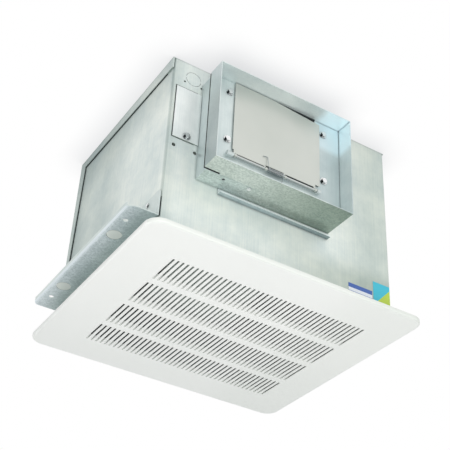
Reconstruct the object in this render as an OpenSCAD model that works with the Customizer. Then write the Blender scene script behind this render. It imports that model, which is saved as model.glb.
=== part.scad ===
// Ceiling exhaust fan: sheet steel housing, side discharge collar with a sprung damper,
// two fixing brackets, a double inlet blower and a slotted pull-down grille.
// +Z points up into the ceiling, the discharge collar faces -Y, and z = 0 is the grille's face.

/* [Grille] */
// Width of the grille, left to right
grille_w = 391; // [384:1:420]
// Depth of the grille, front to back
grille_d = 348; // [345:1:380]
// Centre of the grille, right of the housing's centre
grille_cx = -2; // [-3:0.5:3]
// Centre of the grille, behind the housing's centre
grille_cy = -2.6; // [-3:0.1:3]
// Height of the grille's rim
rim_h = 5.4; // [4.5:0.1:8]
// Sheet thickness of the grille
grille_t = 1.0; // [0.8:0.1:1.6]
// Radius of the grille's corners, seen from below
grille_corner_r = 19; // [12:1:26]
// Radius of the rim's lower edge
grille_edge_r = 2.6; // [1.8:0.1:3.4]
// Distance between neighbouring slots
slot_pitch = 6.6; // [6:0.1:7]
// Width of a slot
slot_w = 2.7; // [2:0.1:3.4]
// Number of slots in a row
slot_cols = 43; // [31:2:47]
// Number of rows
slot_rows = 4; // [2:1:4]
// Centre of the slots, right of the housing's centre
slot_cx = 2.5; // [-3:0.5:3]
// Length of a slot
slot_len = 51.7; // [40:0.1:53]
// Length of the slots in the last row
slot_last_len = 46.6; // [40:0.1:53]
// Bar between two rows
row_bar = 11.1; // [8:0.1:12]
// Height of the deflector behind the rear end of each row
hood_h = 4.5; // [3:0.1:6]
// Length of that deflector, front to back
hood_len = 5.2; // [4:0.1:10]
// Length of the pressed mark over each clip
mark_len = 10; // [6:0.5:14]
// Distance from the grille's side edge to the pressed mark
mark_edge = 15; // [12:0.5:18]

/* [Housing] */
// Width of the housing over its folded flanges
body_w = 347; // [335:1:352]
// Depth of the housing, front to back
body_d = 276; // [270:1:290]
// Height of the housing's top above the grille's face
body_top = 288; // [286:1:310]
// Sheet thickness of the housing
sheet_t = 1.0; // [0.8:0.1:1.2]
// Outer radius of the housing's two front bends
bend_r = 3.5; // [2:0.1:4]
// Width of the top's side flange at its front end
fold_front = 17.8; // [8:0.1:20]
// Width of the top's side flange at its rear end
fold_rear = 12.4; // [8:0.1:16]
// Width of the back's side flange at its upper end
fold_high = 14.5; // [8:0.1:16]
// Width of the back's side flange at its lower end
fold_low = 6; // [4:0.1:9]
// Thickness of the sealing tape under those flanges
tape_t = 0.8; // [0.5:0.1:1]
// How far the tape shows beyond the flanges
tape_out = 1.2; // [0.8:0.1:3]
// Distance from the housing's front to the start of the tape
tape_start = 16; // [4:1:30]
// Thickness of the lining
liner_t = 10; // [6:0.5:10]
// Clearance between pieces that only lie next to each other
gap = 0.3; // [0.2:0.05:0.4]

/* [Collar and damper] */
// Width of the discharge collar
collar_w = 202; // [196:1:206]
// Height of the discharge collar
collar_h = 153; // [150:1:156]
// Centre of the collar, left of the housing's centre
collar_cx = -30.3; // [-34:0.1:-28]
// Height of the collar's underside above the grille's face
collar_z0 = 108.3; // [106:0.1:110]
// Depth of the adapter between housing and damper frame
adapter_d = 24.6; // [24:0.1:32]
// Step between the adapter's left side and the damper frame's
adapter_step = 3.5; // [2:0.1:4]
// Thickness of the gasket between adapter and damper frame
gasket_t = 3; // [1:0.1:3]
// How far the gasket's edge lies inside the damper frame
gasket_in = 0.4; // [0.2:0.1:1]
// Depth of the damper frame
frame_d = 26; // [24:0.5:32]
// Width of the flap
flap_w = 132; // [126:1:134]
// Thickness of the flap
flap_t = 0.8; // [0.6:0.1:1.2]
// Overlap of the flap over its seat, each side
flap_lap = 6; // [5:0.5:8]
// Gap between the flap and the collar's top
flap_top_gap = 1; // [0.6:0.1:3]
// How far the flap's right top corner is cut down
flap_drop = 6.3; // [1:0.1:7]
// Height of the windows above the rod, left one, in the flap's lower edge
window_left = 5; // [3:0.1:8]
// Height of the right window
window_right = 6.1; // [3:0.1:8]
// Length of the knuckles that the flap is rolled into round the rod
knuckle = 2.5; // [2:0.5:8]
// Thickness of the seal under the collar's top
top_seal_t = 1.5; // [0.8:0.1:2]
// Height of the hinge rod above the collar's underside
hinge_up = 31.2; // [30:0.1:36]
// Centre of the hinge rod, left of the housing's centre
hinge_cx = -35; // [-36:0.1:-33]
// Length of the hinge rod
rod_len = 139; // [136:0.1:141]
// Radius of the hinge rod
rod_r = 1.5; // [1.2:0.1:1.7]
// Radial clearance between rod and hinge bush
rod_play = 0.05; // [0.02:0.01:0.1]
// Outer radius of a hinge bush
bush_r = 2.8; // [2.5:0.1:3.8]
// Length of the left hinge bush
bush_len = 9; // [8:0.5:12]
// Length of the right hinge bush
bush_right_len = 5; // [4:0.5:8]
// Wire radius of the damper spring
wire_r = 0.5; // [0.4:0.05:0.55]
// Distance between two turns of the damper spring
coil_pitch = 1.5; // [1.4:0.05:1.6]
// Number of turns
coil_turns = 15; // [10:1:16]
// Mean radius of the turns
coil_r = 3.0; // [2.8:0.1:3.1]
// Length of the spring's upper leg
leg_up = 20.3; // [16:0.1:22]
// Length of the spring's lower leg
leg_down = 10.1; // [8:0.1:10.2]
// Gap between the flap's sides and the heads of the damper frame screws
frame_screw_gap = 2.1; // [1:0.1:4]
// Height across the four damper frame screws
frame_screw_h = 78; // [70:0.5:82]
// Length of the ledge under the collar
ledge_w = 166; // [150:1:180]
// How far the ledge stands out
ledge_out = 7; // [5:0.5:9]
// Height of the ledge's front lip
ledge_lip = 2; // [1.5:0.1:4]

/* [Wiring] */
// Gap between the wiring cover and the collar
cover_gap = 0.4; // [0.3:0.1:3]
// Height of the wiring cover
cover_h = 83; // [76:0.5:85]
// Height of the wiring cover's lower edge
cover_z0 = 159.5; // [158:0.5:164]
// Distance of the cover's left edge from the housing's left edge
cover_in = 8.6; // [8:0.1:10]
// Width of the slits beside the cover and the left bracket
slit_w = 1.2; // [0.6:0.1:1.6]
// Width of the slit above the cover
slit_top_w = 1.7; // [0.4:0.1:2]
// Radius of the conduit knockout
knock_r = 11.1; // [10:0.1:11.5]
// Width of the punched line round a knockout
knock_cut = 0.5; // [0.4:0.1:0.8]

/* [Brackets] */
// Width of a bracket's flange, with its lip
bracket_w = 36.8; // [36:0.1:40]
// Length of a bracket
bracket_len = 276; // [266:1:276]
// How far the right bracket's front end is set back from the left one's
right_setback = 12; // [0:1:16]
// Height of the bracket's underside above the grille's face
bracket_z0 = 36.2; // [30:0.1:40]
// Thickness of a bracket
bracket_t = 1.4; // [1:0.1:1.8]
// Height of the upturned lip
lip_h = 7.4; // [6:0.1:10]
// Outer radius of the bend under the lip
lip_r = 5; // [3:0.1:6]
// Height of the leg that lies on the housing
leg_h = 38; // [34:1:44]
// Radius of a mounting hole
bolt_r = 3.4; // [2.5:0.1:4]
// Distance between a bracket's mounting holes
bolt_span = 212; // [200:1:220]
// Distance of the mounting holes from the housing's side
bolt_out = 24.5; // [20:0.5:27]
// Radius of a bracket knockout
bracket_knock_r = 9.8; // [8:0.1:10]
// Distance between a bracket's knockouts
bracket_knock_span = 144; // [120:1:160]

/* [Blower] */
// Radius of the wheel
wheel_r = 76; // [72:0.5:77]
// Width of the wheel
wheel_w = 120; // [100:1:120]
// Number of blades
blades = 40; // [24:1:44]
// Depth of a blade, inner to outer edge
blade_d = 14; // [10:0.5:16]
// Thickness of a blade
blade_t = 0.8; // [0.6:0.1:1.2]
// Width of the scroll inside its side plates
scroll_w = 134; // [132:1:136]
// Scroll radius at the cut-off
scroll_r0 = 84; // [83:0.5:88]
// Scroll radius at the top
scroll_r1 = 118; // [112:0.5:118]
// Distance of the wheel's axis behind the housing's centre
fan_y = 16; // [14:0.5:18]
// Radius of the inlet rings' throat
inlet_r = 56; // [50:0.5:60]
// Radius of the motor
motor_r = 42; // [36:0.5:43]
// Length of the motor's shell
motor_len = 58; // [48:1:60]
// Radius of the motor's shaft
shaft_r = 4; // [3:0.1:5]
// Radial clearance between shaft and bearing
shaft_play = 0.05; // [0.02:0.01:0.1]

/* [Hidden] */
$fn = 48;
eps = 0.01;

// Housing faces
body_x = body_w / 2;
front_y = -body_d / 2;
back_y = body_d / 2;
wall_x = body_x - sheet_t - tape_t;
fold_x = body_x - sheet_t;
body_z0 = rim_h + gap;

// Grille
side_x = grille_w / 2 - grille_corner_r;
side_y = grille_d / 2 - grille_corner_r;
field_w = (slot_cols - 1) * slot_pitch;
field_d = (slot_rows - 1) * (slot_len + row_bar) + slot_last_len;
clip_w = 14;
clip_t = 0.8;
clip_x = wall_x - sheet_t - 6;
clip_top = 116;
clip_bulge = 3;
catch_z = 42;
catch_t = 1.2;

// Collar, from the housing outwards
collar_x0 = collar_cx - collar_w / 2;
collar_x1 = collar_cx + collar_w / 2;
collar_z1 = collar_z0 + collar_h;
skirt_x0 = collar_x0 + 22;
adapter_x0 = collar_x0 + adapter_step;
adapter_y = front_y - adapter_d;
plate_y = adapter_y - gasket_t;
plate_face_y = plate_y - sheet_t;
collar_y = plate_y - frame_d;
hinge_y = plate_face_y - coil_r - wire_r - 0.5;
hinge_z = collar_z0 + hinge_up;
flap_x0 = collar_cx - flap_w / 2;
flap_x1 = collar_cx + flap_w / 2;
flap_top = collar_z1 - sheet_t - flap_top_gap;
flap_notch_z = hinge_z + 10.5;
flap_y = hinge_y + rod_r;
curl_r = rod_r + flap_t;
seat_x0 = flap_x0 + flap_lap;
seat_x1 = flap_x1 - flap_lap;
seat_z0 = flap_notch_z + flap_lap - 2;
seat_z1 = collar_z1 - sheet_t;
rod_x0 = hinge_cx - rod_len / 2;
rod_x1 = hinge_cx + rod_len / 2;
coil_len = coil_turns * coil_pitch;
coil_x0 = hinge_cx + 1.2 - coil_len / 2;
coil_x1 = coil_x0 + coil_len;
notch_x0 = coil_x0 - 2;
notch_x1 = coil_x1 + 2;
coil_top = hinge_z + coil_r + wire_r;
notch_top = coil_top + 3.6;
flap_low_x0 = rod_x0 + bush_len + 1;
flap_low_x1 = rod_x1 - bush_right_len - 1;
seam_w = 0.5;
apron_down = 0.9;
right_fold_back = 6;
rivet_x = collar_x0 + 67;
rivet_y = adapter_y + 3.4;
fixture_hole_y = adapter_y + 5.6;
fixture_hole_x = adapter_x0 + 28;
fixture_hole_r = 1.9;
screw_head_r = 5.2;
screw_r = 2;
screw_hole_r = screw_r + gap;
rivet_hole_r = 1.6;
frame_screw_out = screw_head_r + frame_screw_gap;
frame_screw_x = [flap_x0 - frame_screw_out, flap_x1 + frame_screw_out];
frame_screw_z = [hinge_z + 23.6, hinge_z + 23.6 + frame_screw_h];

// Wiring compartment in the left front corner
cover_x0 = -body_x + cover_in;
cover_x1 = adapter_x0 - cover_gap;
cover_cx = (cover_x0 + cover_x1) / 2;
cover_z1 = cover_z0 + cover_h;
slit_x1 = cover_x1 - 6;
cover_screw_x = cover_cx + 1;
cover_screw_z = cover_z0 + 6.6;
knock_x = cover_x0 + 23.1;
knock_z = cover_z1 + 22;
knock_rivet_r = 1.5;
knock_rivet_x = 12.3;
knock_rivet_down = 9.5;
hook_r = 2.6;
hook_x = 15;
hook_down = 12.7;
box_x1 = collar_cx - scroll_w / 2 - 11;
box_y1 = front_y + 46;
box_z0 = cover_z0 - 7;
box_z1 = body_top - sheet_t - 2;
ground_x = box_x1 - 16;
ground_z = box_z0 + 50;
plug_x = cover_cx + 5;
plug_y = front_y + 23;
socket_h = 14;
plug_z = box_z0 - socket_h - 20;

// Blower, on an axis along X
fan_x = collar_cx;
fan_z = collar_z1 - sheet_t - scroll_r1;
scroll_x0 = fan_x - scroll_w / 2;
scroll_x1 = fan_x + scroll_w / 2;
outlet_z0 = seat_z0 - 4;
nose_r = 8;
blade_r0 = wheel_r - blade_d;
ring_out_r = inlet_r + 12;
foot_r = ring_out_r + 9;
isolator_h = 4;
motor_x0 = scroll_x1 + 33;
motor_x1 = motor_x0 + motor_len;
bell_h = 7;
rotor_r = motor_r - 16;
shaft_x0 = fan_x - 14;
shaft_x1 = motor_x1 + bell_h + 5;

// Route of the motor's lead, chosen by hand, inside the housing
lead_r = 3;
lead_points = [
    [plug_x, plug_y, plug_z - 6.5], [plug_x, plug_y, 84], [-110, -112, 60], [-40, -114, 58],
    [40, -114, 58], [96, -108, 60], [124, -70, 62], [131, -20, 66], [motor_x1 - 8, fan_y, 78],
    [motor_x1 - 8, fan_y, fan_z - motor_r]
];

// Colours
steel = "#cdd6d5";
steel_dark = "#9fb0ae";
white = "#f1f1ec";

function arc(c, r, a0, a1, n = 8) =
    [for (i = [0:n]) let (a = a0 + (a1 - a0) * i / n) [c[0] + r * cos(a), c[1] + r * sin(a)]];

// Outline of a strip of thickness t to the left of an open path
function unit(v) = v / norm(v);
function left_of(v) = [-v[1], v[0]];
function path_normal(p, i) =
    let (a = i > 0 ? unit(p[i] - p[i - 1]) : unit(p[1] - p[0]),
         b = i < len(p) - 1 ? unit(p[i + 1] - p[i]) : a,
         m = unit(left_of(a + b)))
    m / max(0.3, m * left_of(a));
function strip(p, t) = concat(p, [for (i = [len(p) - 1:-1:0]) p[i] + t * path_normal(p, i)]);

// Tube along points in space, with frames carried from ring to ring
function tangent(p, i) = unit(p[min(i + 1, len(p) - 1)] - p[max(i - 1, 0)]);
function carried(n, t) = unit(n - t * (t * n));
function tube_frames(p, n0) =
    [for (i = 0, n = carried(n0, tangent(p, 0)); i < len(p);
          i = i + 1, n = i < len(p) ? carried(n, tangent(p, i)) : n) n];

module tube(p, r, sides, n0) {
    f = tube_frames(p, n0);
    last = len(p) - 1;
    points = [for (i = [0:last]) for (k = [0:sides - 1])
        let (a = 360 * k / sides, b = cross(tangent(p, i), f[i]))
        p[i] + r * (cos(a) * f[i] + sin(a) * b)];
    side_faces = [for (i = [0:last - 1]) for (k = [0:sides - 1]) for (h = [0:1])
        let (a = i * sides + k, b = i * sides + (k + 1) % sides)
        h == 0 ? [b, a, a + sides] : [b, a + sides, b + sides]];
    caps = [for (k = [1:sides - 2]) for (h = [0:1])
        h == 0 ? [0, k, k + 1] : [last * sides, last * sides + k + 1, last * sides + k]];
    polyhedron(points, concat(side_faces, caps));
}

module along_x(x0, x1) {
    translate([x0, 0, 0]) rotate([90, 0, 90]) linear_extrude(height = x1 - x0) children();
}

module along_y(y0, y1) {
    translate([0, y1, 0]) rotate([90, 0, 0]) linear_extrude(height = y1 - y0) children();
}

module box(low, high) {
    translate(low) cube(high - low);
}

module rod_x(x0, x1, r, y, z) {
    translate([x0, y, z]) rotate([0, 90, 0]) cylinder(h = x1 - x0, r = r);
}

module rod_y(y0, y1, r, x, z) {
    translate([x, y0, z]) rotate([-90, 0, 0]) cylinder(h = y1 - y0, r = r);
}

// Hexagon head screw with its washer, head up, seat at z = 0
module washer_screw(head_r, length) {
    cylinder(h = 1, r = head_r);
    translate([0, 0, 1 - eps]) cylinder(h = 2.6, r = head_r * 0.72, $fn = 6);
    translate([0, 0, -length]) cylinder(h = length + eps, r = screw_r);
}

// Blind rivet, head up, seat at z = 0
module blind_rivet() {
    cylinder(h = 1, r = 2.8);
    translate([0, 0, 1 - eps]) cylinder(h = 0.7, r = 1.8);
    translate([0, 0, -2.4]) cylinder(h = 2.5, r = rivet_hole_r - 0.1);
}

// Punched ring that leaves two ties, as a cutter along +Z
module knockout_cut(r, depth) {
    difference() {
        cylinder(h = depth, r = r);
        translate([0, 0, -eps]) cylinder(h = depth + 2 * eps, r = r - knock_cut);
        translate([-r - 1, -1.2, -eps]) cube([2 * r + 2, 2.4, depth + 2 * eps]);
    }
}

// Grille

module rim_section() {
    polygon(concat(
        [[-grille_corner_r, 0]],
        arc([-grille_edge_r, grille_edge_r], grille_edge_r, -90, 0),
        [[0, rim_h], [-grille_t, rim_h]],
        arc([-grille_edge_r, grille_edge_r], grille_edge_r - grille_t, 0, -90),
        [[-grille_corner_r, grille_t]]
    ));
}

module slot_row(y0, length) {
    x0 = slot_cx - field_w / 2 - slot_w / 2;
    for (i = [0:slot_cols - 1])
        translate([x0 + i * slot_pitch, y0, -1]) cube([slot_w, length, grille_t + 2]);
}

module grille_panel() {
    color(white)
    union() {
        difference() {
            box([grille_cx - side_x, grille_cy - side_y, 0],
                [grille_cx + side_x, grille_cy + side_y, grille_t]);
            for (j = [0:slot_rows - 1])
                slot_row(-field_d / 2 + j * (slot_len + row_bar),
                         j < slot_rows - 1 ? slot_len : slot_last_len);
            for (s = [-1, 1])
                translate([grille_cx + s * (grille_w / 2 - mark_edge), 0, 0])
                    box([-1.6, -mark_len / 2, -1], [1.6, mark_len / 2, grille_t * 0.5]);
        }
        for (s = [-1, 1]) {
            translate([grille_cx, grille_cy + s * side_y, 0]) rotate([0, 0, s * 90])
                translate([0, side_x, 0]) rotate([90, 0, 0])
                    linear_extrude(height = 2 * side_x) translate([grille_corner_r, 0]) rim_section();
            translate([grille_cx + s * side_x, grille_cy, 0]) rotate([0, 0, s > 0 ? 0 : 180])
                translate([0, side_y, 0]) rotate([90, 0, 0])
                    linear_extrude(height = 2 * side_y) translate([grille_corner_r, 0]) rim_section();
        }
        for (a = [0:90:270])
            translate([grille_cx + (a == 0 || a == 270 ? 1 : -1) * side_x,
                       grille_cy + (a < 180 ? 1 : -1) * side_y, 0])
                rotate([0, 0, a])
                    rotate_extrude(angle = 90) translate([grille_corner_r, 0]) rim_section();
    }
}

module grille_deflectors() {
    color(white)
    for (j = [0:slot_rows - 1]) {
        y1 = -field_d / 2 + j * (slot_len + row_bar) + (j < slot_rows - 1 ? slot_len : slot_last_len);
        along_x(slot_cx - field_w / 2 - 4, slot_cx + field_w / 2 + 4)
            polygon(strip([[y1 - hood_len, grille_t + hood_h], [y1 + 1, grille_t], [y1 + 6, grille_t]], 0.8));
    }
}

module grille_clips() {
    color("silver")
    for (s = [-1, 1]) mirror([s < 0 ? 1 : 0, 0, 0])
        along_y(-clip_w / 2, clip_w / 2)
            polygon(strip([[clip_x - 12, grille_t], [clip_x, grille_t], [clip_x, clip_top - 11],
                           [clip_x + clip_bulge, clip_top - 6], [clip_x - 2, clip_top]], clip_t));
}

module clip_catches() {
    color(steel)
    for (s = [-1, 1]) mirror([s < 0 ? 1 : 0, 0, 0])
        difference() {
            box([clip_x - 8, -clip_w / 2 - 6, catch_z],
                [wall_x - sheet_t, clip_w / 2 + 6, catch_z + catch_t]);
            box([clip_x - clip_t - gap, -clip_w / 2 - gap, 0], [clip_x + gap, clip_w / 2 + gap, clip_top]);
        }
}

// Housing

module wrap_plan() {
    polygon(concat(
        [[-wall_x, back_y - sheet_t]],
        arc([-wall_x + bend_r, front_y + bend_r], bend_r, 180, 270),
        arc([wall_x - bend_r, front_y + bend_r], bend_r, 270, 360),
        [[wall_x, back_y - sheet_t], [wall_x - sheet_t, back_y - sheet_t]],
        arc([wall_x - bend_r, front_y + bend_r], bend_r - sheet_t, 360, 270),
        arc([-wall_x + bend_r, front_y + bend_r], bend_r - sheet_t, 270, 180),
        [[-wall_x + sheet_t, back_y - sheet_t]]
    ));
}

// Cutters through the housing's front wall, placed by x and z
module front_slot(low, high) {
    box([low[0], front_y - 1, low[1]], [high[0], front_y + sheet_t + 1, high[1]]);
}

module front_hole(r, x, z) {
    rod_y(front_y - 1, front_y + sheet_t + 1, r, x, z);
}

module housing_wrap() {
    color(steel)
    difference() {
        translate([0, 0, body_z0]) linear_extrude(height = body_top - sheet_t - body_z0) wrap_plan();
        // discharge opening
        front_slot([seat_x0, outlet_z0], [seat_x1, seat_z1 - 6]);
        // wiring opening behind the cover, and the slits along three of the cover's edges
        front_slot([cover_x0 + 5, cover_z0 + 14], [cover_x1 - 5, cover_z1 - 6]);
        front_slot([cover_x0 - slit_w, cover_z0 - slit_w], [cover_x0, cover_z1 + slit_top_w]);
        front_slot([cover_x0 - slit_w, cover_z0 - slit_w], [slit_x1, cover_z0]);
        front_slot([cover_x0 - slit_w, cover_z1], [slit_x1, cover_z1 + slit_top_w]);
        // relief slit beside the left bracket
        along_y(front_y - 1, front_y + 3)
            polygon(strip(relief_path, slit_w));
        translate([knock_x, front_y - 1, knock_z]) rotate([-90, 0, 0]) knockout_cut(knock_r, sheet_t + 2);
        for (s = [-1, 1]) {
            front_hole(knock_rivet_r, knock_x + s * knock_rivet_x, knock_z - knock_rivet_down);
            front_hole(hook_r, cover_cx + s * hook_x, cover_z0 - hook_down);
        }
        front_hole(screw_hole_r, cover_screw_x, cover_screw_z);
        for (s = [-1, 1]) for (y = bracket_rivet_y)
            rod_x(s * wall_x - 2, s * wall_x + 2, rivet_hole_r, y, bracket_rivet_z);
    }
}

// Inner edge of the folded side flanges, from the top's front end to the back's lower end
function fold_edge(grow) = [
    [front_y, body_top - fold_front - grow],
    [back_y - fold_high - grow, body_top - fold_rear - grow],
    [back_y - fold_low - grow, body_z0]
];

module housing_back_top() {
    color(steel)
    difference() {
        union() {
            box([-body_x, back_y - sheet_t, body_z0], [body_x, back_y, body_top]);
            box([-body_x, front_y, body_top - sheet_t], [body_x, back_y, body_top]);
            side_fold(fold_x);
            mirror([1, 0, 0]) side_fold(fold_x);
            // the left flange is pressed in to the wall in front of the tape
            mirror([1, 0, 0]) intersection() {
                side_fold(wall_x);
                box([0, front_y, 0], [body_x, front_y + tape_start, body_top]);
            }
        }
        // the right flange starts behind the front edge
        box([wall_x, front_y - 1, 0], [body_x + 1, front_y + right_fold_back, body_top + 1]);
    }
}

module side_fold(x0) {
    along_x(x0, body_x)
        polygon(concat(fold_edge(0), [[back_y, body_z0], [back_y, body_top], [front_y, body_top]]));
}

module seam_tape() {
    y1 = back_y - sheet_t;
    z1 = body_top - sheet_t;
    color("#2b2e2e")
    for (s = [-1, 1]) mirror([s < 0 ? 1 : 0, 0, 0])
        difference() {
            along_x(wall_x, fold_x)
                polygon(concat(fold_edge(tape_out), [[y1, body_z0], [y1, z1], [front_y, z1]]));
            box([wall_x - 1, front_y - 1, body_z0], [body_x, front_y + tape_start, body_top]);
        }
}

module liner_top() {
    color("#4a4d4c")
    difference() {
        box([-wall_x + sheet_t + gap, front_y + bend_r, body_top - sheet_t - liner_t],
            [wall_x - sheet_t - gap, back_y - sheet_t - liner_t - gap, body_top - sheet_t]);
        box([-body_x, front_y, 0], [box_x1 + gap, box_y1 + gap, body_top + 1]);
    }
}

module liner_back() {
    color("#4a4d4c")
    box([-wall_x + sheet_t + gap, back_y - sheet_t - liner_t, body_z0 + 4],
        [wall_x - sheet_t - gap, back_y - sheet_t, body_top - sheet_t - gap]);
}

// Discharge collar and damper

module collar_adapter() {
    color(steel)
    difference() {
        box([adapter_x0, adapter_y, collar_z0], [collar_x1, front_y, collar_z1]);
        box([adapter_x0 + sheet_t, adapter_y + sheet_t, collar_z0 + sheet_t],
            [collar_x1 - sheet_t, front_y + 1, collar_z1 - sheet_t]);
        box([seat_x0, adapter_y - 1, seat_z0], [seat_x1, front_y, collar_z1 - sheet_t]);
        frame_screw_holes();
        translate([fixture_hole_x, fixture_hole_y, collar_z0 - 1]) cylinder(h = 3, r = fixture_hole_r);
        translate([rivet_x, rivet_y, collar_z0 - 1]) cylinder(h = collar_h + 2, r = rivet_hole_r);
    }
}

module frame_screw_holes() {
    for (x = frame_screw_x) for (z = frame_screw_z)
        rod_y(plate_face_y - 1, adapter_y + sheet_t + 1, screw_hole_r, x, z);
}

module collar_gasket() {
    color("#2b2e2e")
    difference() {
        box([collar_x0 + gasket_in, plate_y, collar_z0 + gasket_in],
            [collar_x1 - gasket_in, adapter_y, collar_z1 - gasket_in]);
        box([skirt_x0 - gap, plate_y - 1, collar_z0 - 1],
            [collar_x1 + 1, adapter_y + 1, collar_z0 + sheet_t + gap]);
        box([seat_x0 - 2, plate_y - 1, seat_z0 - 2], [seat_x1 + 2, adapter_y + 1, collar_z1 - 9]);
        frame_screw_holes();
    }
}

module damper_frame() {
    color(steel)
    difference() {
        union() {
            box([collar_x0, collar_y, collar_z0], [collar_x1, plate_y, collar_z1]);
            // skirt that covers the gasket from below
            box([skirt_x0, plate_y - sheet_t, collar_z0], [collar_x1, adapter_y - gap, collar_z0 + sheet_t]);
        }
        // open seam along the right inner fold, with the gasket behind it
        box([collar_x1 - sheet_t - seam_w, plate_face_y - 1, collar_z0 + sheet_t],
            [collar_x1 - sheet_t, plate_y + 1, collar_z1 - sheet_t]);
        box([collar_x0 + sheet_t, collar_y - 1, collar_z0 + sheet_t],
            [collar_x1 - sheet_t, plate_face_y, collar_z1 - sheet_t]);
        box([seat_x0, plate_face_y - 1, seat_z0], [seat_x1, plate_y + 1, seat_z1]);
        frame_screw_holes();
    }
}

module damper_seal() {
    seal_y = flap_y + flap_t + gap;
    color("#3a3d3c")
    union() {
        difference() {
            union() {
                box([flap_x0 + 1.5, seal_y, seat_z0 - 3.5],
                    [flap_x1 - 1.5, plate_face_y, flap_top - flap_drop - 1]);
                // apron behind the rod and the flap's windows
                box([flap_low_x0, seal_y, hinge_z - apron_down], [flap_low_x1, plate_face_y, seat_z0]);
            }
            box([notch_x0, seal_y - 1, hinge_z - apron_down - 1],
                [notch_x1, plate_face_y + 1, coil_top + 0.5]);
            box([seat_x0 + 0.5, seal_y - 1, seat_z0 + 0.5], [seat_x1 - 0.5, plate_face_y + 1, collar_z1]);
        }
        // strip under the collar's top
        box([seat_x0 + 0.5, seal_y, seat_z1 - top_seal_t], [seat_x1 - 0.5, plate_y, seat_z1]);
    }
}

module collar_ledge() {
    x0 = collar_x0 + 35;
    x1 = x0 + ledge_w;
    y0 = front_y - ledge_out;
    z0 = collar_z0 - 9.3;
    color(steel)
    union() {
        box([x0, front_y - sheet_t, z0], [x1, front_y, collar_z0 - 0.7]);
        box([x0, y0, z0], [x1, front_y, z0 + sheet_t]);
        box([x0, y0, z0], [x1, y0 + sheet_t, z0 + ledge_lip]);
    }
}

module hinge_bushes() {
    color("gainsboro")
    for (x = [[rod_x0 - 0.5, rod_x0 - 0.5 + bush_len], [rod_x1 + 0.5 - bush_right_len, rod_x1 + 0.5]])
        difference() {
            union() {
                rod_x(x[0], x[1], bush_r, hinge_y, hinge_z);
                box([x[0], hinge_y, hinge_z - 1.5], [x[1], plate_face_y, hinge_z + 1.5]);
            }
            rod_x(x[0] - 1, x[1] + 1, rod_r + rod_play, hinge_y, hinge_z);
        }
}

module damper_frame_screws() {
    color("silver")
    for (x = frame_screw_x) for (z = frame_screw_z)
        translate([x, plate_face_y, z]) rotate([90, 0, 0]) washer_screw(screw_head_r, 9);
}

module collar_rivets() {
    color("silver")
    for (s = [-1, 1])
        translate([rivet_x, rivet_y, s < 0 ? collar_z0 : collar_z1])
            rotate([s < 0 ? 180 : 0, 0, 0]) blind_rivet();
}

module damper_flap() {
    windows = [[flap_low_x0 + knuckle, notch_x0 - knuckle, window_left],
               [notch_x1 + knuckle, flap_low_x1 - knuckle, window_right]];
    color("#d3d1c8")
    difference() {
        union() {
            along_y(flap_y, flap_y + flap_t)
                polygon([[flap_low_x0, hinge_z], [notch_x0, hinge_z], [notch_x0, notch_top],
                         [notch_x1, notch_top], [notch_x1, hinge_z], [flap_low_x1, hinge_z],
                         [flap_low_x1, flap_notch_z], [flap_x1, flap_notch_z],
                         [flap_x1, flap_top - flap_drop], [flap_x0 + flap_w * 0.43, flap_top],
                         [flap_x0, flap_top], [flap_x0, flap_notch_z], [flap_low_x0, flap_notch_z]]);
            rod_x(flap_low_x0, notch_x0, curl_r, hinge_y, hinge_z);
            rod_x(notch_x1, flap_low_x1, curl_r, hinge_y, hinge_z);
        }
        rod_x(flap_low_x0 - 1, flap_low_x1 + 1, rod_r, hinge_y, hinge_z);
        // windows between the knuckles, where the rod shows
        for (w = windows)
            box([w[0], hinge_y - curl_r - 1, hinge_z - curl_r - 1],
                [w[1], flap_y + flap_t + 1, hinge_z + w[2]]);
    }
}

module damper_rod() {
    color("silver")
    rod_x(rod_x0, rod_x1, rod_r, hinge_y, hinge_z);
}

// Torsion spring round the rod: lower leg, turns, upper leg and its bent tip
turn_start = 215;
turn_end = 169.5 - 360 * coil_turns;
turn_rings = coil_turns * 8;
function on_turn(s) =
    let (a = turn_start + (turn_end - turn_start) * s)
    [coil_x1 - coil_len * s, hinge_y + coil_r * cos(a), hinge_z + coil_r * sin(a)];
lower_dir = [0, sin(turn_start), -cos(turn_start)];
upper_dir = [0, sin(turn_end), -cos(turn_end)];
leg_end = on_turn(1) + leg_up * upper_dir;
spring_points = concat(
    [on_turn(0) - leg_down * lower_dir, on_turn(0) - leg_down * 0.4 * lower_dir],
    [for (i = [0:turn_rings]) on_turn(i / turn_rings)],
    [on_turn(1) + leg_up * 0.4 * upper_dir, leg_end - 1.2 * upper_dir,
     leg_end + [-0.8, 0, 0], leg_end + [-2.2, 0, -0.2], leg_end + [-6.5, 0, -0.9]]
);
spring_gap = min([for (i = [2:turn_rings - 12]) for (k = [5:11])
    norm(spring_points[i] - spring_points[i + k])]) - 2 * wire_r;

module damper_spring() {
    echo(least_gap_between_turns = spring_gap);
    color("dimgray") tube(spring_points, wire_r, 6, [1, 0, 0]);
}

// Wiring compartment

module wiring_box() {
    x0 = -wall_x + sheet_t;
    y0 = front_y + sheet_t;
    color(steel)
    difference() {
        box([x0, y0, box_z0], [box_x1, box_y1, box_z1]);
        box([x0 - 1, y0 - 1, box_z0 + sheet_t], [box_x1 - sheet_t, box_y1 - sheet_t, box_z1 + 1]);
        // room for the housing's bend
        box([x0 - 1, y0 - 1, box_z0 - 1], [x0 + bend_r, y0 + bend_r, box_z1 + 1]);
        translate([plug_x - 12, plug_y - 8, box_z0 - 1]) cube([24, 16, sheet_t + 2]);
        rod_y(box_y1 - 3, box_y1 + 1, screw_hole_r, ground_x, ground_z);
    }
}

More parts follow.
